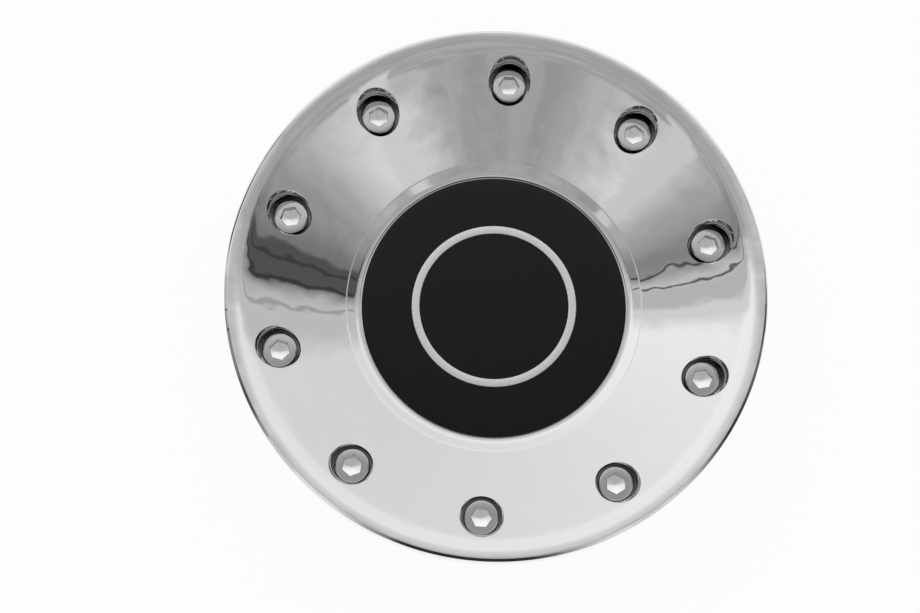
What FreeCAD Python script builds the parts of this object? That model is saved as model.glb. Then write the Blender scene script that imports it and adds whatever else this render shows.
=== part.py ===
import FreeCAD, Part
import math
import os

# Wheel center cap: a dished, bright-plated shell with a ring of dummy socket screws, a round emblem
# at the bottom of the dish, and snap legs with a wire spring ring behind.
# Millimetres. +Z is the cap's axis and points out of the face; z = 0 is the plane of the leg tips.

# Shell: face, rim and wall
cap_diameter = 160.0
roll_radius = 10.8
rim_chamfer = 0.8
rim_chamfer_height = 0.5
rim_edge_radius = 0.2
skirt_height = 9.0
wall = 2.5
cone_angle = 35.5
dish_fillet = 3.0
back_fillet = 2.0

# Fine step that draws a line round the dish outside the emblem
step_inset = 35.1
step_ledge = 0.6
step_fillet = 0.5
step_edge_radius = 0.3

# Emblem and the recess that it is bonded into
emblem_diameter = 80.4
emblem_clearance = 0.5
emblem_land = 0.2
emblem_thickness = 1.8
emblem_proud = 0.1
emblem_crown = 0.15
emblem_edge_radius = 0.5
emblem_floor = 2.5

# Bright ring let into the face of the emblem
inlay_diameter = 50.0
inlay_width = 2.4
inlay_depth = 0.8
inlay_proud = 0.4
inlay_clearance = 0.05

# Dummy socket screws, to the form of an M6 cap screw
screw_count = 10
screw_inset = 13.9
first_screw_angle = 90.0
head_diameter = 10.0
head_height = 5.0
head_edge_radius = 0.6
socket_flats = 5.0
socket_depth = 2.8
shank_diameter = 6.0
stake_diameter = 8.4
stake_height = 1.2

# Pockets that the screws stand in
pocket_diameter = 12.0
pocket_depth = 9.2
pocket_wall = 2.0
pocket_floor = 2.0
mouth_radius = 0.35
shank_clearance = 0.1

# Snap legs, one between each two pockets
leg_inset = 5.0
leg_reach = 5.7
leg_thickness = 2.4
leg_width = 14.0
barb_height = 1.6
barb_length = 4.5
tip_length = 3.0
tip_relief = 0.6
gusset_height = 6.0
gusset_thickness = 1.8

# Stiffening ribs between the floor and the pockets
rib_thickness = 1.8
rib_height = 3.0

# Wire spring ring that keeps the legs pressed outwards
wire_diameter = 2.4
wire_level = 8.5
wire_bite = 0.9
wire_gap = 16.0
wire_clearance = 0.05

# Places that follow from the sizes above
cap_radius = cap_diameter / 2
slope = math.radians(cone_angle)
emblem_radius = emblem_diameter / 2
recess_radius = emblem_radius + emblem_clearance
land_radius = recess_radius + emblem_land
dish_corner_radius = land_radius + dish_fillet * math.tan(slope / 2)
floor_bottom_z = leg_reach
recess_z = floor_bottom_z + emblem_floor
emblem_edge_z = recess_z + emblem_thickness
land_z = emblem_edge_z - emblem_proud
screw_radius = cap_radius - screw_inset
step_radius = cap_radius - step_inset
step_z = land_z + (step_radius - step_ledge - dish_corner_radius) * math.tan(slope)
pitch = 360.0 / screw_count


def cone_z(radius):
    """Height of the dish's conical face, outside its step, at a radius."""
    return step_z + (radius - step_radius) * math.tan(slope)


def back_z(radius):
    """Height of the cone's back, one wall below its face."""
    return cone_z(radius) - wall / math.cos(slope)


def back_radius(z):
    """Radius at which the cone's back has a height."""
    return cap_radius + (z - back_z(cap_radius)) / math.tan(slope)


crest_radius = cap_radius - rim_chamfer - rim_edge_radius - roll_radius * math.tan(slope / 2)
crest_z = cone_z(crest_radius)
seat_z = crest_z - skirt_height
pocket_floor_z = cone_z(screw_radius) - pocket_depth
pocket_bottom_z = pocket_floor_z - pocket_floor
leg_outer = cap_radius - leg_inset
leg_inner = leg_outer - leg_thickness
wire_circle_radius = leg_inner + wire_bite - wire_diameter / 2
crown_radius = (emblem_radius**2 + emblem_crown**2) / (2 * emblem_crown)


def crown_z(radius):
    """Height of the emblem's gently crowned face at a radius."""
    rise = math.sqrt(crown_radius**2 - radius**2) - (crown_radius - emblem_crown)
    return emblem_edge_z + rise


def point(radius, z):
    return FreeCAD.Vector(radius, 0, z)


def rounded_face(corners):
    """Closed face in the XZ plane from (radius, z) corners; a third value rounds that corner."""
    entries = []
    exits = []
    middles = []
    for i, corner in enumerate(corners):
        here = point(*corner[:2])
        before = point(*corners[i - 1][:2]) - here
        after = point(*corners[(i + 1) % len(corners)][:2]) - here
        rounding = corner[2] if len(corner) > 2 else 0
        before.normalize()
        after.normalize()
        half = before.getAngle(after) / 2
        tangent = rounding / math.tan(half)
        bisector = before + after
        entries.append(here + before * tangent)
        exits.append(here + after * tangent)
        if rounding > 0:
            bisector.normalize()
            middles.append(here + bisector * (rounding / math.sin(half) - rounding))
        else:
            middles.append(None)
    edges = []
    for i, middle in enumerate(middles):
        if middle is not None:
            edges.append(Part.Arc(entries[i], middle, exits[i]).toShape())
        following = entries[(i + 1) % len(corners)]
        if (following - exits[i]).Length > 1e-6:
            edges.append(Part.LineSegment(exits[i], following).toShape())
    return Part.Face(Part.Wire(edges))


def turned(face, degrees=360.0, start=0.0):
    """Solid of revolution about the cap's axis, over part of a turn if asked."""
    axis = FreeCAD.Vector(0, 0, 1)
    solid = face.revolve(FreeCAD.Vector(), axis, degrees)
    solid.rotate(FreeCAD.Vector(), axis, start)
    return solid


def upright_plate(face, thickness):
    """Plate of a thickness, centred on the XZ plane that its outline is drawn in."""
    plate = face.extrude(FreeCAD.Vector(0, thickness, 0))
    plate.translate(FreeCAD.Vector(0, -thickness / 2, 0))
    return plate


def around(shape, first_angle):
    """Copies of a shape, one for each screw pitch round the axis."""
    copies = []
    for i in range(screw_count):
        copy = shape.copy()
        copy.rotate(FreeCAD.Vector(), FreeCAD.Vector(0, 0, 1), first_angle + i * pitch)
        copies.append(copy)
    return copies


def face_outline():
    """Corners of the front of the shell, from the axis out to the rim."""
    return [
        (0, recess_z),
        (recess_radius, recess_z),
        (recess_radius, land_z),
        (dish_corner_radius, land_z, dish_fillet),
        (step_radius - step_ledge, step_z, step_edge_radius),
        (step_radius, step_z, step_fillet),
        (crest_radius, crest_z, roll_radius),
        (cap_radius - rim_chamfer, crest_z, rim_edge_radius),
        (cap_radius, crest_z - rim_chamfer_height, rim_edge_radius),
    ]


def shell_wall():
    """Dish, rolled rim and skirt as one wall."""
    skirt_inside = cap_radius - wall
    bend_radius = crest_radius - wall / 2
    return turned(rounded_face(face_outline() + [
        (cap_radius, seat_z),
        (skirt_inside, seat_z),
        (skirt_inside, crest_z - wall),
        (bend_radius, back_z(bend_radius), wall),
        (back_radius(floor_bottom_z), floor_bottom_z, back_fillet),
        (0, floor_bottom_z),
    ]))


def space_behind_face():
    """Everything behind the front of the shell, used to trim what is moulded on its back."""
    return turned(rounded_face(face_outline() + [(cap_radius, -crest_z), (0, -crest_z)]))


def pocket_cup():
    """Blind boss behind the face that a pocket is sunk into."""
    cup = Part.makeCylinder(pocket_diameter / 2 + pocket_wall, crest_z - pocket_bottom_z)
    cup.translate(FreeCAD.Vector(screw_radius, 0, pocket_bottom_z))
    return cup


def pocket_bore():
    """Pocket and the hole in its floor for the screw's shank."""
    bore = Part.makeCylinder(pocket_diameter / 2, crest_z)
    bore.translate(FreeCAD.Vector(screw_radius, 0, pocket_floor_z))
    hole = Part.makeCylinder(shank_diameter / 2 + shank_clearance, 2 * pocket_floor)
    hole.translate(FreeCAD.Vector(screw_radius, 0, pocket_bottom_z - pocket_floor / 2))
    return bore.fuse(hole)


def snap_leg():
    """Curved leg with a barb outside and a groove inside for the wire."""
    root_z = cone_z(leg_inner) - wall / 3
    barb_z = tip_length + barb_length
    leg = turned(rounded_face([
        (leg_inner, root_z),
        (leg_inner, 0),
        (leg_outer - tip_relief, 0),
        (leg_outer + barb_height, tip_length),
        (leg_outer, barb_z),
        (leg_outer, root_z),
    ]), math.degrees(leg_width / leg_outer), -math.degrees(leg_width / leg_outer) / 2)
    groove = Part.makeTorus(wire_circle_radius, wire_diameter / 2 + wire_clearance)
    groove.translate(FreeCAD.Vector(0, 0, wire_level))
    return leg.cut(groove)


def leg_gusset():
    """Web that fills the corner between a leg and the back of the cone."""
    inside = leg_outer - leg_thickness / 2
    bottom_z = back_z(leg_inner) - gusset_height
    return upright_plate(rounded_face([
        (inside, bottom_z),
        (inside, cone_z(inside) - wall / 2),
        (back_radius(bottom_z), bottom_z + wall / 2),
        (back_radius(bottom_z), bottom_z),
    ]), gusset_thickness)


def floor_rib():
    """Low rib along the back of the cone, from the floor out to a pocket."""
    inner = back_radius(floor_bottom_z)
    drop = rib_height / math.cos(slope)
    return upright_plate(rounded_face([
        (inner, back_z(inner) + wall / 2),
        (inner, floor_bottom_z),
        (inner + rib_height * math.tan(slope / 2), floor_bottom_z),
        (screw_radius, back_z(screw_radius) - drop),
        (screw_radius, back_z(screw_radius) + wall / 2),
    ]), rib_thickness)


def round_mouths(shell):
    """Soft edge where each pocket breaks through the plated face."""
    mouths = []
    for edge in shell.Edges:
        middle = edge.valueAt((edge.FirstParameter + edge.LastParameter) / 2)
        from_axis = math.hypot(middle.x, middle.y)
        angle = math.degrees(math.atan2(middle.y, middle.x))
        steps = round((angle - first_screw_angle) / pitch)
        nearest = math.radians(first_screw_angle + steps * pitch)
        from_screw = math.hypot(
            middle.x - screw_radius * math.cos(nearest),
            middle.y - screw_radius * math.sin(nearest),
        )
        on_bore = abs(from_screw - pocket_diameter / 2) < 1e-3
        on_face = abs(middle.z - cone_z(from_axis)) < 1e-3
        if on_bore and on_face:
            mouths.append(edge)
    return shell.makeFillet(mouth_radius, mouths)


def cap_shell():
    moulded = around(pocket_cup(), first_screw_angle) + around(floor_rib(), first_screw_angle)
    legs = around(snap_leg(), first_screw_angle + pitch / 2)
    gussets = around(leg_gusset(), first_screw_angle + pitch / 2)
    back = moulded[0].multiFuse(moulded[1:] + legs + gussets).common(space_behind_face())
    shell = shell_wall().fuse(back)
    bores = around(pocket_bore(), first_screw_angle)
    shell = shell.cut(bores[0].multiFuse(bores[1:])).removeSplitter()
    return round_mouths(shell)


def emblem_disc():
    """Crowned disc with a softened edge and a groove for the bright ring."""
    disc = turned(crowned_face(emblem_radius, recess_z, emblem_edge_radius))
    return disc.cut(inlay_groove())


def crowned_face(radius, bottom_z, edge_radius):
    """Half section of a crowned disc with a rounded rim."""
    inner = radius - edge_radius
    rim_z = crown_z(inner) - edge_radius
    turn = math.sqrt(0.5) * edge_radius
    top = point(0, crown_z(0))
    mid = point(inner / 2, crown_z(inner / 2))
    shoulder = point(inner, crown_z(inner))
    edges = [
        Part.LineSegment(point(0, bottom_z), point(radius, bottom_z)).toShape(),
        Part.LineSegment(point(radius, bottom_z), point(radius, rim_z)).toShape(),
        Part.Arc(point(radius, rim_z), point(inner + turn, rim_z + turn), shoulder).toShape(),
        Part.Arc(shoulder, mid, top).toShape(),
        Part.LineSegment(top, point(0, bottom_z)).toShape(),
    ]
    return Part.Face(Part.Wire(edges))


def inlay_groove():
    """Groove for the bright ring, a clearance wider than the ring on each side."""
    outer = inlay_diameter / 2 + inlay_clearance
    inner = inlay_diameter / 2 - inlay_width - inlay_clearance
    bottom = crown_z(inlay_diameter / 2) - inlay_depth
    top = bottom + inlay_depth + emblem_crown
    return turned(rounded_face([(inner, bottom), (outer, bottom), (outer, top), (inner, top)]))


def emblem_ring():
    """Bright ring, flat underneath in its groove and rounded on its proud edges."""
    outer = inlay_diameter / 2
    inner = outer - inlay_width
    bottom = crown_z(outer) - inlay_depth
    top = crown_z(outer) + inlay_proud
    edge = inlay_proud / 2
    return turned(rounded_face([(inner, bottom), (outer, bottom), (outer, top, edge), (inner, top, edge)]))


def dummy_screw():
    """Socket head on a shank that is staked over behind the pocket's floor."""
    head = head_diameter / 2
    shank = shank_diameter / 2
    stake = stake_diameter / 2
    head_z = pocket_floor_z + head_height
    body = turned(rounded_face([
        (0, head_z),
        (head, head_z, head_edge_radius),
        (head, pocket_floor_z),
        (shank, pocket_floor_z),
        (shank, pocket_bottom_z),
        (stake, pocket_bottom_z),
        (stake, pocket_bottom_z - stake_height, stake_height / 2),
        (0, pocket_bottom_z - stake_height),
    ]))
    screw = body.cut(hex_socket(head_z))
    screw.translate(FreeCAD.Vector(screw_radius, 0, 0))
    return screw


def hex_socket(head_z):
    """Hexagon socket; two of its flats face along X."""
    reach = socket_flats / 2 / math.cos(math.radians(30))
    corners = []
    for i in range(7):
        turn = math.radians(30 + 60 * i)
        corners.append(FreeCAD.Vector(reach * math.cos(turn), reach * math.sin(turn), head_z))
    hexagon = Part.Face(Part.makePolygon(corners))
    return hexagon.extrude(FreeCAD.Vector(0, 0, -socket_depth))


def spring_ring():
    """Open ring of round wire that lies in the grooves of the legs."""
    gap = math.degrees(wire_gap / wire_circle_radius)
    section = Part.makeCircle(
        wire_diameter / 2, point(wire_circle_radius, wire_level), FreeCAD.Vector(0, 1, 0)
    )
    return turned(Part.Face(Part.Wire([section])), 360 - gap, first_screw_angle + gap / 2)


os.makedirs("parts", exist_ok=True)
nodes = {
    "cap_shell": cap_shell(),
    "emblem_disc": emblem_disc(),
    "emblem_ring": emblem_ring(),
    "dummy_screws": Part.makeCompound(around(dummy_screw(), first_screw_angle)),
    "spring_ring": spring_ring(),
}
for name, shape in nodes.items():
    shape.exportStep(os.path.join("parts", name + ".step"))
    box = shape.BoundBox
    print(f"{name}: {len(shape.Solids)} solids, {shape.Volume:.0f} mm3, valid {shape.isValid()}, "
          f"z {box.ZMin:.2f} to {box.ZMax:.2f}")
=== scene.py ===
import math

import bmesh
import bpy
from mathutils import Matrix, Vector


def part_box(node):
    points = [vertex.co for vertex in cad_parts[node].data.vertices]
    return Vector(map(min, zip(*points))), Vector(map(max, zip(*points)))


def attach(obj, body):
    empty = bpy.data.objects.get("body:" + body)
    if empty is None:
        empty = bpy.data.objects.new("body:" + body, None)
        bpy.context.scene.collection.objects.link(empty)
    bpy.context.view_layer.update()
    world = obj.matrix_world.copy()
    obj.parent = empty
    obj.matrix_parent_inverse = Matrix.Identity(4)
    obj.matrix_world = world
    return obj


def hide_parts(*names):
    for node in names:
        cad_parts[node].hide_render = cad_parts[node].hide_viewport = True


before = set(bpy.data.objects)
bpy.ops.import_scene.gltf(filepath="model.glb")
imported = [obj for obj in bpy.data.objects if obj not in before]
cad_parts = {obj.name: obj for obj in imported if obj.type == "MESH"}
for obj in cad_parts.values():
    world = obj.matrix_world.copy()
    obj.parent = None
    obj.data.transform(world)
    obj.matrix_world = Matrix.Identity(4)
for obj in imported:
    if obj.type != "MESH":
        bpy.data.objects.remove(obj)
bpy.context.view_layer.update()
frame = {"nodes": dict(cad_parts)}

mm = 0.001
print("frame loaded:", ", ".join(frame["nodes"]))


# small mesh helpers

def arcPoints(center, radius, start, end, steps):
    points = []
    for i in range(steps + 1):
        turn = math.radians(start + (end - start) * i / steps)
        points.append((center[0] + radius * math.cos(turn), center[1] + radius * math.sin(turn)))
    return points


def roundCorner(before, corner, after, radius, steps):
    # arc that softens a corner of a profile, from the side it comes from to the side it leaves by
    here = Vector(corner)
    toBefore = (Vector(before) - here).normalized()
    toAfter = (Vector(after) - here).normalized()
    half = toBefore.angle(toAfter) / 2
    center = here + (toBefore + toAfter).normalized() * radius / math.sin(half)
    start = (here + toBefore * radius / math.tan(half) - center).normalized()
    end = (here + toAfter * radius / math.tan(half) - center).normalized()
    return [tuple(center + start.slerp(end, i / steps) * radius) for i in range(steps + 1)]


def addRows(bm, rows, closed=False, back=False, paintedShade=None, socketFloor=None):
    # rows of points in mm become a sheet of quads; a row that sits on one point closes to triangles
    # two marks, one a row, that the materials read: the first is how much painted shade a row gets, the
    # second picks the rows of a screw socket's floor, which is painted paler as painted light
    marks = {"paintedShade": paintedShade or [], "socketFloor": socketFloor or []}
    for name in marks:
        if name not in bm.verts.layers.float.keys():
            bm.verts.layers.float.new(name)
    if "backSide" not in bm.faces.layers.int.keys():
        bm.faces.layers.int.new("backSide")
    flag = bm.faces.layers.int["backSide"]
    verts = [[bm.verts.new(Vector(p) * mm) for p in row] for row in rows]
    for name, values in marks.items():
        layer = bm.verts.layers.float[name]
        for row, value in zip(verts, values):
            for vert in row:
                vert[layer] = value
    for upper, lower in zip(verts, verts[1:]):
        last = len(upper) if closed else len(upper) - 1
        for j in range(last):
            k = (j + 1) % len(upper)
            face = bm.faces.new((upper[j], upper[k], lower[k], lower[j]))
            face[flag] = int(back)


def ringRow(radius, z, steps, start, sweep):
    angles = [start + sweep * j / steps for j in range(steps + 1)]
    return [(radius * math.cos(a), radius * math.sin(a), z) for a in angles]


def addTurned(bm, profile, steps, start=0.0, sweep=math.tau, back=False):
    addRows(bm, [ringRow(r, z, steps, start, sweep) for r, z in profile], back=back)


def closeMesh(bm, sharpAngle):
    bmesh.ops.remove_doubles(bm, verts=bm.verts, dist=1e-7)
    bmesh.ops.dissolve_degenerate(bm, edges=bm.edges, dist=1e-8)
    bmesh.ops.recalc_face_normals(bm, faces=bm.faces)
    for edge in bm.edges:
        edge.smooth = len(edge.link_faces) == 2 and edge.calc_face_angle(0) < math.radians(sharpAngle)
    for face in bm.faces:
        face.smooth = True


def finishMesh(bm, name, sharpAngle=35):
    closeMesh(bm, sharpAngle)
    mesh = bpy.data.meshes.new(name)
    bm.to_mesh(mesh)
    bm.free()
    return mesh


def placeMesh(mesh, name):
    piece = bpy.data.objects.new(name, mesh)
    bpy.context.scene.collection.objects.link(piece)
    return piece


def addNode(tree, kind, inputs=None, **settings):
    node = tree.nodes.new(kind)
    for key, value in settings.items():
        setattr(node, key, value)
    for key, value in (inputs or {}).items():
        socket = node.inputs[key]
        if isinstance(value, bpy.types.NodeSocket):
            tree.links.new(value, socket)
        else:
            socket.default_value = value
    return node


# the shell, all sizes in mm, read the same way as on a drawing of the moulding
shell = {
    "rimRadius": 80.0,
    "rollRadius": 10.8,  # the cone rolls over to nearly level just inside the rim
    "rollEnd": 5.0,      # degrees of slope left where the chamfer starts
    "rimChamfer": 0.8,
    "chamferDrawn": 0.9,   # a little larger than the CAD's, for the line round the rim in the photograph
    "chamferHeight": 0.77,
    "rimEdge": 0.2,
    "skirtHeight": 9.0,
    "skirtEdge": 0.3,
    "wall": 2.5,
    "coneAngle": 35.5,
    "dishFillet": 3.0,
    "backFillet": 2.0,
    "stepRadius": 44.9,  # fine line round the dish, a little outside the emblem
    "stepLedge": 0.6,
    "ledgeDrawn": 0.3,   # narrower than the CAD's, because the line is faint in the photograph
    "stepTilt": 9.0,     # degrees that the ledge of the step leans with the cone
    "stepFillet": 0.3,
    "stepEdge": 0.2,
    "recessRadius": 40.7,
    "recessDepth": 1.7,
    "recessEdge": 0.15,
    "land": 0.2,
    "floor": 2.5,
    "arcSteps": 30,      # faces along one screw pitch of the rim
    "sideSteps": 24,     # faces along the line between two pitches
    "patchEnd": 75.0,    # where the pitch with its pocket ends, a little way up the roll
    "coneRows": 15,      # faces from a pocket's mouth out to the edge of its pitch
    "backRows": 5,       # and behind the cone
    "crowding": 1.7,     # how much these rows crowd towards the pocket
}
pocket = {
    "count": 10,
    "firstAngle": 90.0,
    "circleRadius": 66.1,
    "boreRadius": 6.0,
    "depth": 9.2,
    "mouthDepth": 0.8,   # countersink round the mouth, widest where the cone rises
    "mouthAngle": 62.0,
    "ringPitch": 2.2,    # faint turned rings down the wall
    "ringDepth": 0.1,
    "wall": 2.0,
    "floor": 2.0,
    "wallRows": 26,
    "wallCrowding": 1.4,
    "cupRows": 3,
    # how the lip rounds over: share of the countersink's width and depth
    "lip": [(1.0, 0.04), (0.9, 0.11), (0.75, 0.25), (0.5, 0.5), (0.25, 0.75), (0.1, 0.91),
            (0.02, 1.02), (0.0, 1.15)],
}
legs = {
    "outerRadius": 75.0,
    "thickness": 2.4,
    "width": 14.0,
    "barbHeight": 1.6,
    "barbLength": 4.5,
    "tipLength": 3.0,
    "tipRelief": 0.6,
    "gussetHeight": 6.0,
    "webThickness": 1.8,
    "ribHeight": 3.0,
    "softEdge": 0.3,
    "sharpAngle": 30,    # degrees past which an edge is softened
    "steps": 10,
}

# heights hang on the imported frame: the recess floor is where the emblem sits, the rest follows the cone
slope = math.radians(shell["coneAngle"])
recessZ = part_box("emblem_disc")[0][2] / mm
landZ = recessZ + shell["recessDepth"]
landRadius = shell["recessRadius"] + shell["land"]
dishCorner = landRadius + shell["dishFillet"] * math.tan(slope / 2)
stepZ = landZ + (shell["stepRadius"] - shell["stepLedge"] - dishCorner) * math.tan(slope)
floorZ = recessZ - shell["floor"]
pitch = math.tau / pocket["count"]


def coneZ(radius):
    return stepZ + (radius - shell["stepRadius"]) * math.tan(slope)


def backZ(radius):
    return coneZ(radius) - shell["wall"] / math.cos(slope)


def backRadius(z):
    return shell["rimRadius"] + (z - backZ(shell["rimRadius"])) / math.tan(slope)


chamferRadius = shell["rimRadius"] - shell["rimChamfer"]
crestRadius = chamferRadius - shell["rimEdge"] - shell["rollRadius"] * math.tan(slope / 2)
crestZ = coneZ(crestRadius)
seatZ = crestZ - shell["skirtHeight"]
rollLean = math.tan(math.radians(shell["rollEnd"]))
rollCorner = (crestRadius * math.tan(slope) - chamferRadius * rollLean) / (math.tan(slope) - rollLean)
rollCut = shell["rollRadius"] * math.tan((slope - math.radians(shell["rollEnd"])) / 2)
rollStart = rollCorner - rollCut * math.cos(slope)
rollMiddle = (rollStart + shell["rollRadius"] * math.sin(slope),
              coneZ(rollStart) - shell["rollRadius"] * math.cos(slope))
pocketFloorZ = coneZ(pocket["circleRadius"]) - pocket["depth"]
pocketBottomZ = pocketFloorZ - pocket["floor"]


def frontZ(radius):
    if radius < rollStart:
        return coneZ(radius)
    return rollMiddle[1] + math.sqrt(shell["rollRadius"] ** 2 - (radius - rollMiddle[0]) ** 2)


# one pitch of the shell, with its pocket on the +X axis

def pitchEdge(innerRadius, outerRadius):
    # walks once round the outline of the pitch: rim side, one flank, hub side, other flank
    half = pitch / 2
    points = []
    for i in range(shell["arcSteps"]):
        points.append((outerRadius, -half + pitch * i / shell["arcSteps"]))
    for i in range(shell["sideSteps"]):
        points.append((outerRadius + (innerRadius - outerRadius) * i / shell["sideSteps"], half))
    for i in range(shell["arcSteps"]):
        points.append((innerRadius, half - pitch * i / shell["arcSteps"]))
    for i in range(shell["sideSteps"]):
        points.append((innerRadius + (outerRadius - innerRadius) * i / shell["sideSteps"], -half))
    return [(r * math.cos(a), r * math.sin(a)) for r, a in points]


def aroundPocket(edge, radius, flare=0.0):
    # points round the pocket's axis that face the points of the outline; flare is the depth of a countersink
    center = pocket["circleRadius"]
    steep = math.tan(math.radians(pocket["mouthAngle"]))
    points = []
    for x, y in edge:
        turn = math.atan2(y, x - center)
        reach = radius + flare / (steep - math.tan(slope) * math.cos(turn))
        points.append((center + reach * math.cos(turn), reach * math.sin(turn)))
    return points


def onSurface(plan, height, drop=0.0):
    return [(x, y, height(math.hypot(x, y)) - drop) for x, y in plan]


def patchRows(edge, ring, height, rows):
    sheet = []
    for i in range(rows + 1):
        t = (i / rows) ** shell["crowding"]
        plan = [(a[0] + (b[0] - a[0]) * t, a[1] + (b[1] - a[1]) * t) for a, b in zip(ring, edge)]
        sheet.append(onSurface(plan, height))
    return sheet


def addFront(bm, innerRadius, outerRadius):
    edge = pitchEdge(innerRadius, outerRadius)
    bore = pocket["boreRadius"]
    center = pocket["circleRadius"]
    deep = pocket["mouthDepth"]
    rows = patchRows(edge, aroundPocket(edge, bore, deep * 1.1), frontZ, shell["coneRows"])[::-1]
    # the lip rounds over into the countersink, and that into the wall
    for share, drop in pocket["lip"]:
        rows.append(onSurface(aroundPocket(edge, bore, deep * share), frontZ, deep * drop))
    mouth = rows[-1]
    # each wall row is marked for more painted shade the deeper it lies, the pocket's floor the most
    paintedShade = [0.0] * len(rows)
    for i in range(1, pocket["wallRows"] + 1):
        down = (i / pocket["wallRows"]) ** pocket["wallCrowding"]
        wall = []
        for x, y, z in mouth:
            depth = (z - pocketFloorZ) * down
            swell = 1 - math.cos(math.tau * depth / pocket["ringPitch"])
            grow = 1 + pocket["ringDepth"] / 2 * swell * (1 - down) / bore
            wall.append((center + (x - center) * grow, y * grow, z - depth))
        rows.append(wall)
        paintedShade.append(down)
    rows.append([(center, 0, pocketFloorZ)] * len(edge))
    addRows(bm, rows, closed=True, paintedShade=paintedShade + [1.0])


def addBack(bm, innerRadius, outerRadius):
    edge = pitchEdge(innerRadius, outerRadius)
    cup = pocket["boreRadius"] + pocket["wall"]
    rows = patchRows(edge, aroundPocket(edge, cup), backZ, shell["backRows"])[::-1]
    mouth = rows[-1]
    for i in range(1, pocket["cupRows"] + 1):
        rows.append([(x, y, z + (pocketBottomZ - z) * i / pocket["cupRows"]) for x, y, z in mouth])
    rows.append([(pocket["circleRadius"], 0, pocketBottomZ)] * len(edge))
    addRows(bm, rows, closed=True, back=True)


def addPlate(bm, outline, thickness, angle):
    # flat web in a radial plane, bevelled a little like a moulded one
    plate = bmesh.new()
    plate.faces.layers.int.new("backSide")
    turn = Matrix.Rotation(angle, 3, "Z")
    sides = []
    for side in (-0.5, 0.5):
        sides.append([plate.verts.new(turn @ Vector((r, side * thickness, z)) * mm) for r, z in outline])
    plate.faces.new(sides[0])
    plate.faces.new(sides[1][::-1])
    for j in range(len(outline)):
        k = (j + 1) % len(outline)
        plate.faces.new((sides[0][j], sides[1][j], sides[1][k], sides[0][k]))
    joinInto(bm, plate)


def joinInto(bm, other):
    bmesh.ops.recalc_face_normals(other, faces=other.faces)
    least = math.radians(legs["sharpAngle"])
    sharp = [e for e in other.edges if len(e.link_faces) == 2 and e.calc_face_angle(0) > least]
    bmesh.ops.bevel(other, geom=sharp, offset=legs["softEdge"] * mm, segments=2, affect="EDGES",
                    profile=0.5, clamp_overlap=True)
    for face in other.faces:
        face[other.faces.layers.int["backSide"]] = 1
    holder = bpy.data.meshes.new("holder")
    other.to_mesh(holder)
    other.free()
    bm.from_mesh(holder)
    bpy.data.meshes.remove(holder)


def addLeg(bm):
    inner = legs["outerRadius"] - legs["thickness"]
    outer = legs["outerRadius"]
    root = coneZ(inner) - shell["wall"] / 3
    grooveRadius = spring["wireDiameter"] / 2 + spring["clearance"]
    bite = math.degrees(math.acos((inner - spring["circleRadius"]) / grooveRadius))
    outline = [(inner, root)]
    outline += arcPoints((spring["circleRadius"], spring["level"]), grooveRadius, bite, -bite, 6)
    outline += [
        (inner, 0.0),
        (outer - legs["tipRelief"], 0.0),
        (outer + legs["barbHeight"], legs["tipLength"]),
        (outer, legs["tipLength"] + legs["barbLength"]),
        (outer, root),
    ]
    leg = bmesh.new()
    leg.faces.layers.int.new("backSide")
    sweep = legs["width"] / outer
    steps = legs["steps"]
    slices = []
    for i in range(steps + 1):
        angle = pitch / 2 - sweep / 2 + sweep * i / steps
        points = [(r * math.cos(angle), r * math.sin(angle), z) for r, z in outline]
        slices.append([leg.verts.new(Vector(p) * mm) for p in points])
    for a, b in zip(slices, slices[1:]):
        for j in range(len(outline)):
            k = (j + 1) % len(outline)
            leg.faces.new((a[j], a[k], b[k], b[j]))
    leg.faces.new(slices[0])
    leg.faces.new(slices[-1][::-1])
    joinInto(bm, leg)


def addWebs(bm):
    inner = legs["outerRadius"] - legs["thickness"] / 2
    low = backZ(legs["outerRadius"] - legs["thickness"]) - legs["gussetHeight"]
    gusset = [
        (inner, low),
        (inner, coneZ(inner) - shell["wall"] / 2),
        (backRadius(low), low + shell["wall"] / 2),
        (backRadius(low), low),
    ]
    addPlate(bm, gusset, legs["webThickness"], pitch / 2)
    foot = backRadius(floorZ)
    drop = legs["ribHeight"] / math.cos(slope)
    end = pocket["circleRadius"] - pocket["boreRadius"] - pocket["wall"] / 2
    rib = [
        (foot, backZ(foot) + shell["wall"] / 2),
        (foot, floorZ),
        (foot + legs["ribHeight"] * math.tan(slope / 2), floorZ),
        (end, backZ(end) - drop),
        (end, backZ(end) + shell["wall"] / 2),
    ]
    addPlate(bm, rib, legs["webThickness"], 0.0)


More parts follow.
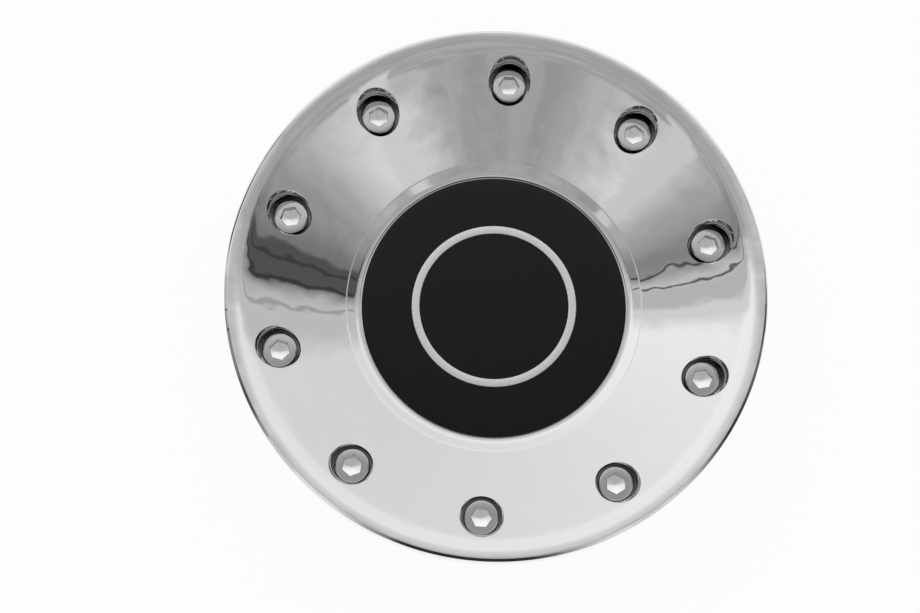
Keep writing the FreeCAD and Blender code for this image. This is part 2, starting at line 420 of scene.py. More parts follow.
def buildShellPitch():
    bm = bmesh.new()
    angle = shell["coneAngle"]
    rim = shell["rimRadius"]
    edge = shell["skirtEdge"]
    inside = rim - shell["wall"]
    start = -pitch / 2
    steps = shell["arcSteps"]

    innerRadius = shell["stepRadius"] - shell["ledgeDrawn"]
    lean = math.tan(math.radians(shell["stepTilt"]))
    outerRadius = (shell["stepRadius"] * math.tan(slope) - innerRadius * lean) / (math.tan(slope) - lean)
    outerStep = (outerRadius, coneZ(outerRadius))
    innerStep = (innerRadius, stepZ)
    corner = (dishCorner, landZ)
    brink = (shell["recessRadius"], landZ)
    foot = (shell["recessRadius"], recessZ)
    dish = roundCorner((rim, coneZ(rim)), outerStep, innerStep, shell["stepFillet"], 8)
    dish += roundCorner(outerStep, innerStep, corner, shell["stepEdge"], 8)
    dish += roundCorner(innerStep, corner, brink, shell["dishFillet"], 14)
    dish += roundCorner(corner, brink, foot, shell["recessEdge"], 4)
    dish += [foot, (0.0, recessZ)]
    addTurned(bm, dish, steps, start, pitch)

    crest = (rollCorner, coneZ(rollCorner))
    wider = shell["chamferDrawn"] - shell["rimChamfer"]
    chamferTop = (rim - shell["chamferDrawn"], crestZ - wider * rollLean)
    chamferEnd = (rim, crestZ - shell["chamferHeight"])
    patchEnd = shell["patchEnd"]
    roll = roundCorner(outerStep, crest, chamferTop, shell["rollRadius"], 40)
    skirt = [(patchEnd, frontZ(patchEnd))] + [point for point in roll if point[0] > patchEnd + 0.05]
    skirt += roundCorner(crest, chamferTop, chamferEnd, shell["rimEdge"], 5)
    skirt += roundCorner(chamferTop, chamferEnd, (rim, seatZ), shell["rimEdge"], 5)
    skirt += arcPoints((rim - edge, seatZ + edge), edge, 0, -90, 4)
    addFront(bm, dish[0][0], patchEnd)
    addTurned(bm, skirt, steps, start, pitch)

    bend = crestRadius - shell["wall"] / 2
    backOfRim = [skirt[-1], (inside, seatZ), (inside, crestZ - shell["wall"]), (bend, backZ(bend))]
    addTurned(bm, backOfRim, steps, start, pitch, back=True)
    backStart = backRadius(floorZ)
    cut = shell["backFillet"] * math.tan(slope / 2)
    low = (backStart + cut * math.cos(slope), floorZ + cut * math.sin(slope))
    addBack(bm, low[0], bend)
    turn = (backStart - cut, floorZ + shell["backFillet"])
    roundBack = arcPoints(turn, shell["backFillet"], -90 + angle, -90, 5)
    addTurned(bm, roundBack + [(0.0, floorZ)], steps, start, pitch, back=True)

    addLeg(bm)
    addWebs(bm)
    return finishMesh(bm, "shellPitch")


# one dummy screw on the +X axis
screw = {
    "headRadius": 5.2,   # heads and sockets show a little larger than the CAD's standard 10 and 5 mm
    "headHeight": 5.0,
    "headEdge": 0.6,
    "socketFlats": 5.4,
    "socketDepth": 2.8,
    "socketEdge": 0.1,
    "floorTilt": 4.0,    # degrees that the floor of the socket leans towards the cap's axis
    "floorCone": 8.0,    # and its drilled hollow
    "shankRadius": 3.0,
    "stakeRadius": 4.2,
    "stakeHeight": 1.2,
    "stepsPerFlat": 12,
    "floorInsets": (0.0, 0.03, 0.9, 1.8),
    "paintedWallShade": (0.5, 0.8),  # painted shade on the socket's wall: how dark it is at its top and foot
    "sharpAngle": 22,
}


def buildScrew():
    bm = bmesh.new()
    top = pocketFloorZ + screw["headHeight"]
    head = screw["headRadius"]
    soft = screw["headEdge"]
    flat = screw["socketFlats"] / 2
    count = 6 * screw["stepsPerFlat"]
    center = pocket["circleRadius"]

    def circle(radius, z):
        turns = [math.tau * j / count for j in range(count)]
        return [(center + radius * math.cos(a), radius * math.sin(a), z) for a in turns]

    def hexagon(grow, z, tilt=0.0, hollow=0.0):
        # two flats face along X
        points = []
        for j in range(count):
            turn = math.tau * j / count
            inFlat = (turn + math.pi / 6) % (math.pi / 3) - math.pi / 6
            reach = (flat + grow) / math.cos(inFlat)
            x = reach * math.cos(turn)
            points.append((center + x, reach * math.sin(turn), z + x * tilt + (reach - flat) * hollow))
        return points

    socketZ = top - screw["socketDepth"]
    chamfer = screw["socketEdge"]
    stake = screw["stakeRadius"]
    stakeZ = pocketBottomZ - screw["stakeHeight"]
    rows = [[(center, 0, stakeZ)] * count]
    for r, z in arcPoints((stake - soft, stakeZ + soft), soft, -90, 0, 5):
        rows.append(circle(r, z))
    rows.append(circle(stake, pocketBottomZ))
    rows.append(circle(screw["shankRadius"], pocketBottomZ))
    rows.append(circle(screw["shankRadius"], pocketFloorZ))
    rows.append(circle(head, pocketFloorZ))
    # painted shade: the shank, the stake and the head's foot are darkest, fading out up the head's rounded
    # edge
    paintedShade = [1.0] * len(rows)
    for i, (r, z) in enumerate(arcPoints((head - soft, top - soft), soft, 0, 90, 8)):
        rows.append(circle(r, z))
        paintedShade.append(1 - i / 8)
    rows += [hexagon(chamfer, top), hexagon(0.0, top - chamfer)]
    tilt = math.tan(math.radians(screw["floorTilt"]))
    hollow = math.tan(math.radians(screw["floorCone"]))
    rows += [hexagon(-inset, socketZ, tilt, hollow) for inset in screw["floorInsets"]]
    rows.append([(center, 0, socketZ - flat * hollow)] * count)
    floorRows = len(screw["floorInsets"])
    paintedShade += [0.0, *screw["paintedWallShade"]] + [0.0] * floorRows
    # the socket's floor rows, which the material paints paler as painted light
    socketFloor = [0.0] * (len(rows) - floorRows) + [1.0] * floorRows
    addRows(bm, rows, closed=True, paintedShade=paintedShade, socketFloor=socketFloor)
    return finishMesh(bm, "screwBlank", screw["sharpAngle"])


# emblem, inlay
emblem = {
    "radius": 40.2,
    "thickness": 1.8,
    "crown": 0.15,
    "edgeRadius": 0.5,
    "outerRows": (37, 34, 31, 28),  # radii where the crown has a row outside and inside the ring
    "innerRows": (18, 13, 8, 4),
    "steps": 300,
}
inlay = {
    "outerRadius": 25.0,
    "width": 2.4,
    "depth": 0.8,
    "proud": 0.4,
    "edgeRadius": 0.2,
    "clearance": 0.05,
    "steps": 300,
}
crownRadius = (emblem["radius"] ** 2 + emblem["crown"] ** 2) / (2 * emblem["crown"])


def crownZ(radius):
    rise = math.sqrt(crownRadius ** 2 - radius ** 2) - crownRadius + emblem["crown"]
    return recessZ + emblem["thickness"] + rise


def buildEmblem():
    bm = bmesh.new()
    soft = emblem["edgeRadius"]
    inner = emblem["radius"] - soft
    shoulder = crownZ(inner)
    grooveOut = inlay["outerRadius"] + inlay["clearance"]
    grooveIn = inlay["outerRadius"] - inlay["width"] - inlay["clearance"]
    grooveZ = crownZ(inlay["outerRadius"]) - inlay["depth"]
    profile = [(0.0, recessZ), (emblem["radius"], recessZ)]
    profile += arcPoints((inner, shoulder - soft), soft, 0, 90, 8)
    profile += [(r, crownZ(r)) for r in (*emblem["outerRows"], grooveOut)]
    profile += [(grooveOut, grooveZ), (grooveIn, grooveZ)]
    profile += [(r, crownZ(r)) for r in (grooveIn, *emblem["innerRows"])]
    profile += [(0.0, crownZ(0.0))]
    addTurned(bm, profile, emblem["steps"])
    return finishMesh(bm, "emblemFace")


def buildInlay():
    bm = bmesh.new()
    outer = inlay["outerRadius"]
    inner = outer - inlay["width"]
    low = crownZ(outer) - inlay["depth"]
    top = crownZ(outer) + inlay["proud"]
    soft = inlay["edgeRadius"]
    profile = [(inner, low), (outer, low)]
    profile += arcPoints((outer - soft, top - soft), soft, 0, 90, 4)
    profile += arcPoints((inner + soft, top - soft), soft, 90, 180, 4)
    profile += [(inner, low)]
    addTurned(bm, profile, inlay["steps"])
    return finishMesh(bm, "inlayRing")


# materials

def hexColor(code):
    channels = [int(code[i:i + 2], 16) / 255 for i in (1, 3, 5)]
    linear = [c / 12.92 if c <= 0.04045 else ((c + 0.055) / 1.055) ** 2.4 for c in channels]
    return (*linear, 1.0)


def newMaterial(name):
    material = bpy.data.materials.new(name)
    material.use_nodes = True
    tree = material.node_tree
    return material, tree, tree.nodes["Principled BSDF"]


def perMm(size):
    return 1 / (size * mm)


# bright chrome over moulded ABS: a mirror that waves a little, as the plastic under it does; the pocket walls
# are painted darker towards their floors, as painted shade
def makePlatedFace():
    material, tree, shader = newMaterial("chromePlatedAbsPolished")
    shader.inputs["Metallic"].default_value = 1.0
    paintedShade = addNode(tree, "ShaderNodeAttribute", attribute_name="paintedShade").outputs["Fac"]
    # painted shade: the deeper a pocket's wall lies, the darker its colour, down to #747476
    pocketShade = addNode(tree, "ShaderNodeMapRange", {
        "Value": paintedShade, "From Min": 0.5, "From Max": 0.95}, interpolation_type="SMOOTHSTEP")
    tone = addNode(tree, "ShaderNodeMix", {
        "Factor": pocketShade.outputs["Result"], "A": hexColor("#e2e3e4"), "B": hexColor("#747476")},
        data_type="RGBA")
    tree.links.new(tone.outputs["Result"], shader.inputs["Base Color"])
    place = addNode(tree, "ShaderNodeTexCoord").outputs["Object"]
    haze = addNode(tree, "ShaderNodeTexNoise", {"Vector": place, "Scale": perMm(6.0), "Detail": 4.0})
    spread = addNode(tree, "ShaderNodeMapRange", {
        "Value": haze.outputs["Fac"], "From Min": 0.35, "From Max": 0.75, "To Min": 0.015, "To Max": 0.045})
    tree.links.new(spread.outputs["Result"], shader.inputs["Roughness"])
    wave = addNode(tree, "ShaderNodeTexNoise", {"Vector": place, "Scale": perMm(22.0), "Detail": 2.5})
    bump = addNode(tree, "ShaderNodeBump", {
        "Height": wave.outputs["Fac"], "Strength": 1.0, "Distance": 0.35 * mm})
    tree.links.new(bump.outputs["Normal"], shader.inputs["Normal"])
    return material


# the same plating on the unpolished back: grey and a little frosted
def makePlatedBack():
    material, tree, shader = newMaterial("chromePlatedAbsUnpolished")
    shader.inputs["Metallic"].default_value = 1.0
    place = addNode(tree, "ShaderNodeTexCoord").outputs["Object"]
    cloud = addNode(tree, "ShaderNodeTexNoise", {"Vector": place, "Scale": perMm(18.0), "Detail": 5.0})
    tone = addNode(tree, "ShaderNodeMix", {
        "Factor": cloud.outputs["Fac"], "A": hexColor("#b4b5b7"), "B": hexColor("#d2d3d4")}, data_type="RGBA")
    tree.links.new(tone.outputs["Result"], shader.inputs["Base Color"])
    grain = addNode(tree, "ShaderNodeTexNoise", {"Vector": place, "Scale": perMm(0.8), "Detail": 3.0})
    spread = addNode(tree, "ShaderNodeMapRange", {
        "Value": cloud.outputs["Fac"], "To Min": 0.2, "To Max": 0.38})
    tree.links.new(spread.outputs["Result"], shader.inputs["Roughness"])
    bump = addNode(tree, "ShaderNodeBump", {
        "Height": grain.outputs["Fac"], "Strength": 0.25, "Distance": 0.02 * mm})
    tree.links.new(bump.outputs["Normal"], shader.inputs["Normal"])
    return material


# barrel-plated screw heads: chrome with a faint satin haze; the head's sides and the socket's wall are
# darkened with painted shade, and the socket's floor is painted paler, as painted light
def makePlatedScrew():
    material, tree, shader = newMaterial("chromePlatedScrew")
    paintedShade = addNode(tree, "ShaderNodeAttribute", attribute_name="paintedShade").outputs["Fac"]
    socketFloor = addNode(tree, "ShaderNodeAttribute", attribute_name="socketFloor").outputs["Fac"]
    tone = addNode(tree, "ShaderNodeMix", {
        "Factor": paintedShade, "A": hexColor("#c9cacb"), "B": hexColor("#6a6a6c")}, data_type="RGBA")
    # painted light: the socket's floor gets a paler colour, #f6f6f6, so that it reads brighter
    paintedFloorLight = addNode(tree, "ShaderNodeMix", {
        "Factor": socketFloor, "A": tone.outputs["Result"], "B": hexColor("#f6f6f6")}, data_type="RGBA")
    tree.links.new(paintedFloorLight.outputs["Result"], shader.inputs["Base Color"])
    shader.inputs["Metallic"].default_value = 1.0
    place = addNode(tree, "ShaderNodeTexCoord").outputs["Object"]
    haze = addNode(tree, "ShaderNodeTexNoise", {"Vector": place, "Scale": perMm(1.2), "Detail": 4.0})
    spread = addNode(tree, "ShaderNodeMapRange", {
        "Value": haze.outputs["Fac"], "From Min": 0.3, "From Max": 0.7, "To Min": 0.06, "To Max": 0.14})
    rough = addNode(tree, "ShaderNodeMix", {"Factor": socketFloor, "A": spread.outputs["Result"], "B": 0.06})
    tree.links.new(rough.outputs["Result"], shader.inputs["Roughness"])
    bump = addNode(tree, "ShaderNodeBump", {
        "Height": haze.outputs["Fac"], "Strength": 0.3, "Distance": 0.01 * mm})
    tree.links.new(bump.outputs["Normal"], shader.inputs["Normal"])
    return material


# black lacquer on a moulded disc: deep black, glossy, with a faint orange peel
def makeBlackLacquer():
    material, tree, shader = newMaterial("blackLacqueredAbs")
    place = addNode(tree, "ShaderNodeTexCoord").outputs["Object"]
    cloud = addNode(tree, "ShaderNodeTexNoise", {"Vector": place, "Scale": perMm(9.0), "Detail": 5.0})
    tone = addNode(tree, "ShaderNodeMix", {
        "Factor": cloud.outputs["Fac"], "A": hexColor("#060607"), "B": hexColor("#0b0b0c")}, data_type="RGBA")
    tree.links.new(tone.outputs["Result"], shader.inputs["Base Color"])
    shader.inputs["IOR"].default_value = 1.45
    shader.inputs["Specular IOR Level"].default_value = 0.3
    spread = addNode(tree, "ShaderNodeMapRange", {
        "Value": cloud.outputs["Fac"], "To Min": 0.14, "To Max": 0.24})
    tree.links.new(spread.outputs["Result"], shader.inputs["Roughness"])
    peel = addNode(tree, "ShaderNodeTexNoise", {"Vector": place, "Scale": perMm(1.6), "Detail": 2.0})
    bump = addNode(tree, "ShaderNodeBump", {
        "Height": peel.outputs["Fac"], "Strength": 0.3, "Distance": 0.01 * mm})
    tree.links.new(bump.outputs["Normal"], shader.inputs["Normal"])
    return material


# bead-blasted aluminium: pale satin silver with a fine sparkle of grit marks
def makeSatinInlay():
    material, tree, shader = newMaterial("aluminiumBeadBlasted")
    shader.inputs["Metallic"].default_value = 1.0
    place = addNode(tree, "ShaderNodeTexCoord").outputs["Object"]
    grit = addNode(tree, "ShaderNodeTexNoise", {"Vector": place, "Scale": perMm(0.5), "Detail": 3.0})
    tone = addNode(tree, "ShaderNodeMix", {
        "Factor": grit.outputs["Fac"], "A": hexColor("#cfd0d1"), "B": hexColor("#f2f2f2")}, data_type="RGBA")
    tree.links.new(tone.outputs["Result"], shader.inputs["Base Color"])
    shader.inputs["Roughness"].default_value = 0.42
    bump = addNode(tree, "ShaderNodeBump", {
        "Height": grit.outputs["Fac"], "Strength": 0.5, "Distance": 0.04 * mm})
    tree.links.new(bump.outputs["Normal"], shader.inputs["Normal"])
    return material


# drawn spring wire: grey steel with faint lines along its length
def makeSpringWire():
    material, tree, shader = newMaterial("springSteelDrawn")
    shader.inputs["Metallic"].default_value = 1.0
    place = addNode(tree, "ShaderNodeTexCoord").outputs["Object"]
    plan = addNode(tree, "ShaderNodeVectorMath", {0: place, 1: (1.0, 1.0, 0.0)}, operation="MULTIPLY")
    reach = addNode(tree, "ShaderNodeVectorMath", {0: plan.outputs["Vector"]}, operation="LENGTH")
    level = addNode(tree, "ShaderNodeSeparateXYZ", {"Vector": place}).outputs["Z"]
    along = addNode(tree, "ShaderNodeAttribute", attribute_name="along").outputs["Fac"]
    drift = addNode(tree, "ShaderNodeMath", {0: along, 1: 10 * mm}, operation="MULTIPLY")
    drawn = addNode(tree, "ShaderNodeCombineXYZ", {
        "X": reach.outputs["Value"], "Y": level, "Z": drift.outputs[0]})
    lines = addNode(tree, "ShaderNodeTexNoise", {
        "Vector": drawn.outputs[0], "Scale": perMm(0.35), "Detail": 4.0})
    tone = addNode(tree, "ShaderNodeMix", {
        "Factor": lines.outputs["Fac"], "A": hexColor("#8f9092"), "B": hexColor("#b9babc")}, data_type="RGBA")
    tree.links.new(tone.outputs["Result"], shader.inputs["Base Color"])
    spread = addNode(tree, "ShaderNodeMapRange", {
        "Value": lines.outputs["Fac"], "To Min": 0.25, "To Max": 0.42})
    tree.links.new(spread.outputs["Result"], shader.inputs["Roughness"])
    return material


# geometry node trees

def newTree(name, sockets):
    tree = bpy.data.node_groups.new(name, "GeometryNodeTree")
    for label, kind in sockets:
        tree.interface.new_socket(label, in_out="INPUT", socket_type=kind)
    tree.interface.new_socket("Geometry", in_out="OUTPUT", socket_type="NodeSocketGeometry")
    return tree, addNode(tree, "NodeGroupInput"), addNode(tree, "NodeGroupOutput")


def buildRingTree():
    # copies whatever it is given round the Z axis and welds the seams
    tree, given, result = newTree("copiesRoundAxis", [
        ("Geometry", "NodeSocketGeometry"), ("Count", "NodeSocketInt"), ("First Angle", "NodeSocketFloat"),
        ("Face Material", "NodeSocketMaterial"), ("Back Material", "NodeSocketMaterial")])
    index = addNode(tree, "GeometryNodeInputIndex").outputs[0]
    step = addNode(tree, "ShaderNodeMath", {0: math.tau, 1: given.outputs["Count"]}, operation="DIVIDE")
    turn = addNode(tree, "ShaderNodeMath", {
        0: index, 1: step.outputs[0], 2: given.outputs["First Angle"]}, operation="MULTIPLY_ADD")
    spin = addNode(tree, "ShaderNodeCombineXYZ", {"Z": turn.outputs[0]})
    points = addNode(tree, "GeometryNodePoints", {"Count": given.outputs["Count"]})
    copies = addNode(tree, "GeometryNodeInstanceOnPoints", {
        "Points": points.outputs[0], "Instance": given.outputs["Geometry"], "Rotation": spin.outputs[0]})
    real = addNode(tree, "GeometryNodeRealizeInstances", {"Geometry": copies.outputs[0]})
    weld = addNode(tree, "GeometryNodeMergeByDistance", {"Geometry": real.outputs[0], "Distance": 0.002 * mm})
    face = addNode(tree, "GeometryNodeSetMaterial", {
        "Geometry": weld.outputs[0], "Material": given.outputs["Face Material"]})
    behind = addNode(tree, "GeometryNodeInputNamedAttribute", {"Name": "backSide"}, data_type="INT")
    back = addNode(tree, "GeometryNodeSetMaterial", {
        "Geometry": face.outputs[0], "Selection": behind.outputs["Attribute"],
        "Material": given.outputs["Back Material"]})
    tree.links.new(back.outputs[0], result.inputs["Geometry"])
    return tree


spring = {
    "wireDiameter": 2.4,
    "circleRadius": 72.3,
    "level": 8.5,
    "gap": 16.0,
    "clearance": 0.05,
    "steps": 240,
    "profileSteps": 16,
}


def buildWireTree():
    # open ring of round wire
    tree, given, result = newTree("openWireRing", [
        ("Geometry", "NodeSocketGeometry"), ("Circle Radius", "NodeSocketFloat"),
        ("Wire Radius", "NodeSocketFloat"), ("Level", "NodeSocketFloat"), ("Start", "NodeSocketFloat"),
        ("Sweep", "NodeSocketFloat"), ("Material", "NodeSocketMaterial")])
    arc = addNode(tree, "GeometryNodeCurveArc", {
        "Resolution": spring["steps"], "Radius": given.outputs["Circle Radius"],
        "Start Angle": given.outputs["Start"], "Sweep Angle": given.outputs["Sweep"]})
    section = addNode(tree, "GeometryNodeCurvePrimitiveCircle", {
        "Resolution": spring["profileSteps"], "Radius": given.outputs["Wire Radius"]})
    along = addNode(tree, "GeometryNodeSplineParameter").outputs["Factor"]
    marked = addNode(tree, "GeometryNodeStoreNamedAttribute", {
        "Geometry": arc.outputs["Curve"], "Name": "along", "Value": along}, data_type="FLOAT", domain="POINT")
    wire = addNode(tree, "GeometryNodeCurveToMesh", {
        "Curve": marked.outputs[0], "Profile Curve": section.outputs["Curve"], "Fill Caps": True})
    lift = addNode(tree, "ShaderNodeCombineXYZ", {"Z": given.outputs["Level"]})
    placed = addNode(tree, "GeometryNodeTransform", {
        "Geometry": wire.outputs[0], "Translation": lift.outputs[0]})
    real = addNode(tree, "GeometryNodeRealizeInstances", {"Geometry": placed.outputs[0]})
    done = addNode(tree, "GeometryNodeSetMaterial", {
        "Geometry": real.outputs[0], "Material": given.outputs["Material"]})
    tree.links.new(done.outputs[0], result.inputs["Geometry"])
    return tree


def runTree(mesh, name, tree, values, sharpAngle=35):
    piece = placeMesh(mesh, name)
    modifier = piece.modifiers.new("maker", "NODES")
    modifier.node_group = tree
    for item in tree.interface.items_tree:
        if item.in_out == "INPUT" and item.name in values:
            modifier[item.identifier] = values[item.name]
    evaluated = piece.evaluated_get(bpy.context.evaluated_depsgraph_get())
    made = bpy.data.meshes.new_from_object(evaluated)
    made.name = name
    piece.modifiers.remove(modifier)
    piece.data = made
    bm = bmesh.new()
    bm.from_mesh(made)
    closeMesh(bm, sharpAngle)
    bm.to_mesh(made)
    bm.free()
    return piece


def dress(piece, node):
    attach(piece, "root")
    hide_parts(node)
    triangles = sum(len(p.vertices) - 2 for p in piece.data.polygons)
    print(piece.name, "stands for", node, "with", triangles, "triangles")


platedFace = makePlatedFace()
platedBack = makePlatedBack()
platedScrew = makePlatedScrew()
blackLacquer = makeBlackLacquer()
satinInlay = makeSatinInlay()
springWire = makeSpringWire()
print("materials made")

ringTree = buildRingTree()
ringValues = {"Count": pocket["count"], "First Angle": math.radians(pocket["firstAngle"])}
capShell = runTree(buildShellPitch(), "capShell", ringTree, {
    **ringValues, "Face Material": platedFace, "Back Material": platedBack})
dress(capShell, "cap_shell")

dummyScrews = runTree(buildScrew(), "dummyScrews", ringTree, {
    **ringValues, "Face Material": platedScrew, "Back Material": platedScrew}, screw["sharpAngle"])
dress(dummyScrews, "dummy_screws")

emblemFace = placeMesh(buildEmblem(), "emblemFace")
emblemFace.data.materials.append(blackLacquer)
dress(emblemFace, "emblem_disc")

inlayRing = placeMesh(buildInlay(), "inlayRing")
inlayRing.data.materials.append(satinInlay)
dress(inlayRing, "emblem_ring")

gapAngle = spring["gap"] / spring["circleRadius"]
springRing = runTree(bpy.data.meshes.new("wireBlank"), "springRing", buildWireTree(), {
    "Circle Radius": spring["circleRadius"] * mm, "Wire Radius": spring["wireDiameter"] / 2 * mm,
    "Level": spring["level"] * mm, "Start": math.radians(pocket["firstAngle"]) + gapAngle / 2,
    "Sweep": math.tau - gapAngle, "Material": springWire})
dress(springRing, "spring_ring")

# studio: white paper all round, a white screen behind, a grey ceiling, two softboxes beside the camera
studio = {
    "floorSize": 4.0,
    "paper": "#ffffff",
    "shadowShare": 0.05,         # how much of the object's shadow the paper keeps
    "ceiling": 0.45,
    "ceilingClouds": (0.85, 1.17),  # its darkest and brightest parts, as shares of it
    "cloudScale": 7.0,
    "lowRoom": 0.03,             # the unlit room under the ceiling
    "lowEdge": (18.0, 27.0),     # degrees above the table where it ends
    "screen": 0.88,
    "screenSide": -0.1,          # how much the screen falls off towards +X
    "screenGlow": 0.13,          # how much brighter its middle is than its foot
    "screenTop": -0.24,          # and how much darker its top
    "glowRise": (10.0, 32.0),    # degrees over which it brightens
    "topFade": (58.0, 74.0),     # and darkens
    "farBearing": 99.0,          # degrees from +X, the way the screen stands
    "screenLean": 0.19,
    "screenEdge": (-0.05, 0.09),
    "screenFoot": (2.0, 7.0),
    "boxTop": (30.0, 40.0),      # degrees where the softboxes fade out
    "boardTop": (48.0, 68.0),    # and the boards
}
softboxes = [
    # bearing off the camera's side, half width and softness in degrees, brightness
    {"bearing": -46.0, "half": 17.0, "soft": 26.0, "level": 0.9},
    {"bearing": 44.0, "half": 18.0, "soft": 26.0, "level": 0.87},
]
boards = [
    # drapes, boards and stand poles beside the table, in the same terms
    {"bearing": 96.0, "half": 11.0, "soft": 28.0, "level": 0.2},
    {"bearing": 115.0, "half": 6.0, "soft": 10.0, "level": 0.63},
    {"bearing": 110.2, "half": 0.6, "soft": 0.8, "level": 0.42},
    {"bearing": 99.0, "half": 4.6, "soft": 1.5, "level": 0.1},
    {"bearing": 98.0, "half": 0.5, "soft": 0.6, "level": 0.055},
    {"bearing": 102.8, "half": 0.5, "soft": 0.6, "level": 0.05},
    {"bearing": -86.0, "half": 8.0, "soft": 16.0, "level": 0.28},
    {"bearing": -104.0, "half": 3.0, "soft": 8.0, "level": 0.76},
    {"bearing": -98.0, "half": 3.5, "soft": 4.0, "level": 0.57},
    {"bearing": -89.4, "half": 0.4, "soft": 0.5, "level": 0.08},
    {"bearing": -94.6, "half": 0.35, "soft": 0.5, "level": 0.12},
    {"bearing": -57.0, "half": 5.0, "soft": 4.0, "level": 0.72},
    {"bearing": 46.0, "half": 5.0, "soft": 4.0, "level": 0.76},
]


def makePaper():
    # matt seamless paper: white to the eye and in reflections, a little shaded near the object
    material, tree, shader = newMaterial("seamlessPaper")
    shader.inputs["Base Color"].default_value = hexColor(studio["paper"])
    shader.inputs["Roughness"].default_value = 0.9
    glow = addNode(tree, "ShaderNodeEmission", {"Color": hexColor(studio["paper"]), "Strength": 1.0})
    path = addNode(tree, "ShaderNodeLightPath")
    seen = addNode(tree, "ShaderNodeMath", {
        0: path.outputs["Is Camera Ray"], 1: path.outputs["Is Glossy Ray"]}, operation="ADD")
    through = addNode(tree, "ShaderNodeMath", {
        0: seen.outputs[0], 1: path.outputs["Is Transmission Ray"]}, operation="ADD", use_clamp=True)
    share = addNode(tree, "ShaderNodeMath", {
        0: through.outputs[0], 1: 1 - studio["shadowShare"]}, operation="MULTIPLY")
    mixed = addNode(tree, "ShaderNodeMixShader", {
        0: share.outputs[0], 1: shader.outputs[0], 2: glow.outputs[0]})
    tree.links.new(mixed.outputs[0], tree.nodes["Material Output"].inputs["Surface"])
    return material


def makeFloor():
    half = studio["floorSize"] / 2
    mesh = bpy.data.meshes.new("paperFloor")
    corners = [(-half, -half, 0), (half, -half, 0), (half, half, 0), (-half, half, 0)]
    mesh.from_pydata(corners, [], [(0, 1, 2, 3)])
    floor = placeMesh(mesh, "paperFloor")
    mesh.materials.append(makePaper())


def addBoard(tree, behind, bearing, upright, board):
    # something that stands beside the table, in front of what is behind it
    offset = addNode(tree, "ShaderNodeMath", {0: bearing, 1: board["bearing"]}, operation="SUBTRACT")
    aside = addNode(tree, "ShaderNodeMath", {0: offset.outputs[0]}, operation="ABSOLUTE")
    across = addNode(tree, "ShaderNodeMapRange", {
        "Value": aside.outputs[0], "From Min": board["half"] - board["soft"] / 2,
        "From Max": board["half"] + board["soft"] / 2, "To Min": 1.0, "To Max": 0.0},
        interpolation_type="SMOOTHSTEP")
    cover = addNode(tree, "ShaderNodeMath", {0: across.outputs["Result"], 1: upright}, operation="MULTIPLY")
    shown = addNode(tree, "ShaderNodeMix", {"Factor": cover.outputs[0], "A": behind, "B": board["level"]})
    return shown.outputs["Result"]


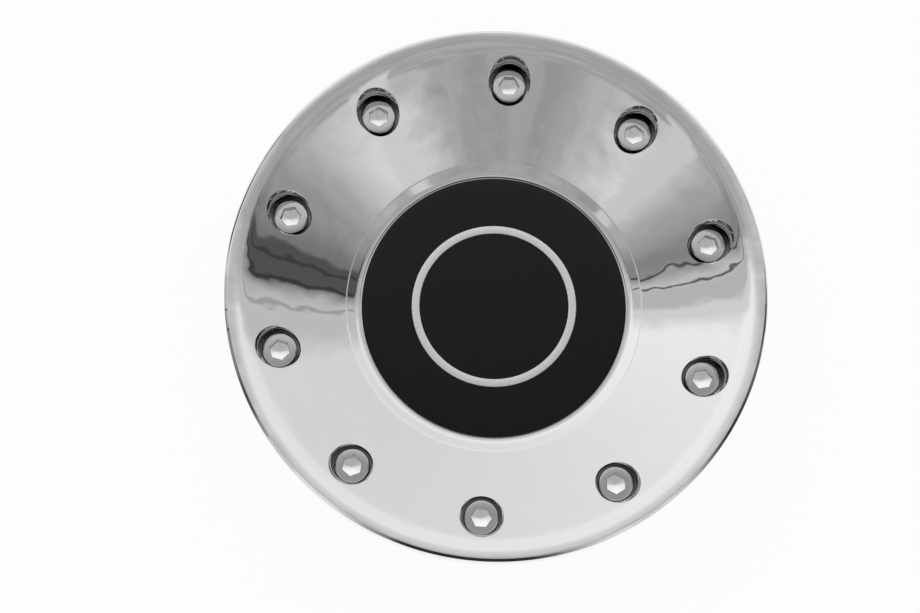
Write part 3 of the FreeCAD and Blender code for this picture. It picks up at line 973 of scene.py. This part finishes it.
def makeWorld():
    world = bpy.data.worlds.new("studioRoom")
    bpy.context.scene.world = world
    world.use_nodes = True
    tree = world.node_tree
    smooth = "SMOOTHSTEP"

    # where a direction points: bearing off the camera's side and height above the table, in degrees
    direction = addNode(tree, "ShaderNodeTexCoord").outputs["Generated"]
    axes = addNode(tree, "ShaderNodeSeparateXYZ", {"Vector": direction}).outputs
    nearer = addNode(tree, "ShaderNodeMath", {0: axes["Y"], 1: -1.0}, operation="MULTIPLY")
    turn = addNode(tree, "ShaderNodeMath", {0: axes["X"], 1: nearer.outputs[0]}, operation="ARCTAN2")
    bearing = addNode(tree, "ShaderNodeMath", {0: turn.outputs[0]}, operation="DEGREES").outputs[0]
    rise = addNode(tree, "ShaderNodeMath", {0: axes["Z"]}, operation="ARCSINE")
    height = addNode(tree, "ShaderNodeMath", {0: rise.outputs[0]}, operation="DEGREES").outputs[0]

    # ceiling over a dark room, with the softboxes in front
    cloud = addNode(tree, "ShaderNodeTexNoise", {
        "Vector": direction, "Scale": studio["cloudScale"], "Detail": 3.0})
    low, high = studio["ceilingClouds"]
    ceiling = addNode(tree, "ShaderNodeMapRange", {
        "Value": cloud.outputs["Fac"], "From Min": 0.3, "From Max": 0.7,
        "To Min": studio["ceiling"] * low, "To Max": studio["ceiling"] * high})
    low, high = studio["lowEdge"]
    room = addNode(tree, "ShaderNodeMapRange", {
        "Value": height, "From Min": low, "From Max": high,
        "To Min": studio["lowRoom"], "To Max": ceiling.outputs["Result"]}, interpolation_type=smooth)
    light = room.outputs["Result"]
    low, high = studio["boxTop"]
    upright = addNode(tree, "ShaderNodeMapRange", {
        "Value": height, "From Min": low, "From Max": high, "To Min": 1.0, "To Max": 0.0},
        interpolation_type=smooth).outputs["Result"]
    for box in softboxes:
        light = addBoard(tree, light, bearing, upright, box)

    # the screen behind, from just above the table over to the ceiling
    far = math.radians(studio["farBearing"])
    away = addNode(tree, "ShaderNodeVectorMath", {
        0: direction, 1: (math.cos(far), math.sin(far), -studio["screenLean"])}, operation="DOT_PRODUCT")
    low, high = studio["screenEdge"]
    behind = addNode(tree, "ShaderNodeMapRange", {
        "Value": away.outputs["Value"], "From Min": low, "From Max": high}, interpolation_type=smooth)
    low, high = studio["screenFoot"]
    above = addNode(tree, "ShaderNodeMapRange", {
        "Value": height, "From Min": low, "From Max": high}, interpolation_type=smooth)
    cover = addNode(tree, "ShaderNodeMath", {
        0: behind.outputs["Result"], 1: above.outputs["Result"]}, operation="MULTIPLY")
    side = addNode(tree, "ShaderNodeMath", {
        0: axes["X"], 1: studio["screenSide"], 2: studio["screen"]}, operation="MULTIPLY_ADD")
    low, high = studio["glowRise"]
    glow = addNode(tree, "ShaderNodeMapRange", {
        "Value": height, "From Min": low, "From Max": high, "To Max": studio["screenGlow"]},
        interpolation_type=smooth)
    low, high = studio["topFade"]
    top = addNode(tree, "ShaderNodeMapRange", {
        "Value": height, "From Min": low, "From Max": high, "To Max": studio["screenTop"]},
        interpolation_type=smooth)
    level = addNode(tree, "ShaderNodeMath", {0: side.outputs[0], 1: glow.outputs["Result"]}, operation="ADD")
    level = addNode(tree, "ShaderNodeMath", {0: level.outputs[0], 1: top.outputs["Result"]}, operation="ADD")
    light = addNode(tree, "ShaderNodeMix", {
        "Factor": cover.outputs[0], "A": light, "B": level.outputs[0]}).outputs["Result"]

    # boards at both sides
    low, high = studio["boardTop"]
    upright = addNode(tree, "ShaderNodeMapRange", {
        "Value": height, "From Min": low, "From Max": high, "To Min": 1.0, "To Max": 0.0},
        interpolation_type=smooth).outputs["Result"]
    for board in boards:
        light = addBoard(tree, light, bearing, upright, board)

    # the eye sees plain white behind the table
    path = addNode(tree, "ShaderNodeLightPath").outputs["Is Camera Ray"]
    seen = addNode(tree, "ShaderNodeMix", {"Factor": path, "A": light, "B": 1.0}).outputs["Result"]
    tree.links.new(seen, tree.nodes["Background"].inputs["Color"])


# camera: how the photograph looks at the cap
shot = {
    "tilt": 12.31,         # degrees off the cap's axis
    "tiltAxis": 5.47,      # degrees that the tilt's axis is turned clockwise from the image's horizontal
    "turn": -3.89,         # degrees that the cap is turned about its own axis
    "distance": 678.0,     # mm, from the plane of the screw heads
    "shiftRight": 10.57,   # mm that the cap's axis lies right of the image's middle
    "shiftUp": 2.78,       # mm that it lies above
    "lens": 88.9,
}


def makeCamera():
    axisTurn = math.radians(shot["tiltAxis"])
    hinge = Vector((math.cos(axisTurn), -math.sin(axisTurn), 0))
    toView = Matrix.Rotation(-math.radians(shot["tilt"]), 3, hinge)
    toView = toView @ Matrix.Rotation(math.radians(shot["turn"]), 3, "Z")
    fromView = toView.transposed()
    aim = Vector((0, 0, pocketFloorZ + screw["headHeight"]))
    spot = aim + fromView @ Vector((-shot["shiftRight"], -shot["shiftUp"], shot["distance"]))
    camera = bpy.data.objects.new("camera", bpy.data.cameras.new("camera"))
    camera.data.lens = shot["lens"]
    camera.data.sensor_width = 36.0
    camera.data.clip_start = 0.01
    camera.matrix_world = Matrix.Translation(spot * mm) @ fromView.to_4x4()
    bpy.context.scene.collection.objects.link(camera)
    bpy.context.scene.camera = camera


makeFloor()
makeWorld()
makeCamera()
bpy.context.scene.view_settings.view_transform = "Standard"
print("studio and camera set")
